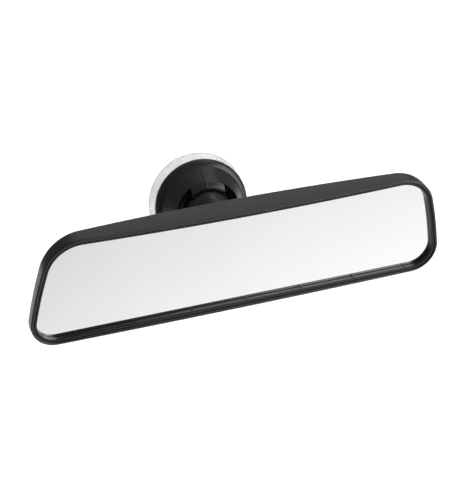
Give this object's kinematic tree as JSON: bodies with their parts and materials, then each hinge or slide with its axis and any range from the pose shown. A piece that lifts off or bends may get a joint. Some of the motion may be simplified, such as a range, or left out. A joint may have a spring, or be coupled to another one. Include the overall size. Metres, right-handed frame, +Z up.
{
  "type": "interior rearview mirror",
  "caption": "Wide trapezoid interior rear-view mirror on a short ball-jointed arm with a clear suction cup for the windscreen.",
  "frame": {"origin": "centre of the suction disc's sealing lip, where it meets the windscreen", "axes": "+X along the mirror's length, +Z up, the glass faces -Y and the suction cup is behind it on +Y"},
  "size_m": [0.2424, 0.085, 0.0685],
  "materials": {
    "clear_pvc": "clear, glossy soft PVC",
    "zinc_steel": "bright zinc plate",
    "black_cap": "semi-gloss moulded black",
    "natural_nylon": "natural, satin",
    "black_shell": "fine matt moulded black",
    "black_ring": "fine matt moulded black",
    "grey_board": "moulded grey",
    "white_foam": "closed-cell foam",
    "film": "thin smooth film",
    "silvered_glass": "polished, silvered"
  },
  "bodies": {
    "suction_base": {"suction_disc": "clear_pvc", "disc_stud": "zinc_steel", "stud_washer": "zinc_steel", "stud_nut": "zinc_steel", "socket_cap": "black_cap"},
    "cup_seat": {"cup_seat_ring": "natural_nylon"},
    "arm": {"ball_arm": "black_cap"},
    "head_seat": {"head_seat_ring": "natural_nylon"},
    "mirror_head": {"head_socket": "black_cap", "socket_screw_1": "zinc_steel", "socket_screw_2": "zinc_steel", "socket_screw_3": "zinc_steel", "socket_screw_4": "zinc_steel", "rear_shell": "black_shell", "backing_plate": "grey_board", "plate_screw_1": "zinc_steel", "plate_screw_2": "zinc_steel", "plate_screw_3": "zinc_steel", "plate_screw_4": "zinc_steel", "foam_pad_left": "white_foam", "foam_pad_right": "white_foam", "shatter_film": "film", "mirror_glass": "silvered_glass", "retaining_ring": "black_ring"}
  },
  "joints": [
    {"name": "cup_swivel", "type": "hinge", "parent": "suction_base", "child": "cup_seat", "pos_m": [-0.00208, -0.02163, 0.00582], "axis": [-0.0926, -0.9615, 0.2588], "continuous": true},
    {"name": "cup_tilt", "type": "hinge", "parent": "cup_seat", "child": "arm", "pos_m": [-0.00208, -0.02163, 0.00582], "axis": [0.9954, -0.0958, 0], "range_deg": [-34, 14]},
    {"name": "head_tilt", "type": "hinge", "parent": "arm", "child": "head_seat", "pos_m": [-0.00149, -0.0555, 0.00879], "axis": [1, 0, 0], "range_deg": [-23, 13]},
    {"name": "head_pan", "type": "hinge", "parent": "head_seat", "child": "mirror_head", "pos_m": [-0.00149, -0.0555, 0.00879], "axis": [0, 0, 1], "range_deg": [-18, 18]}
  ]
}
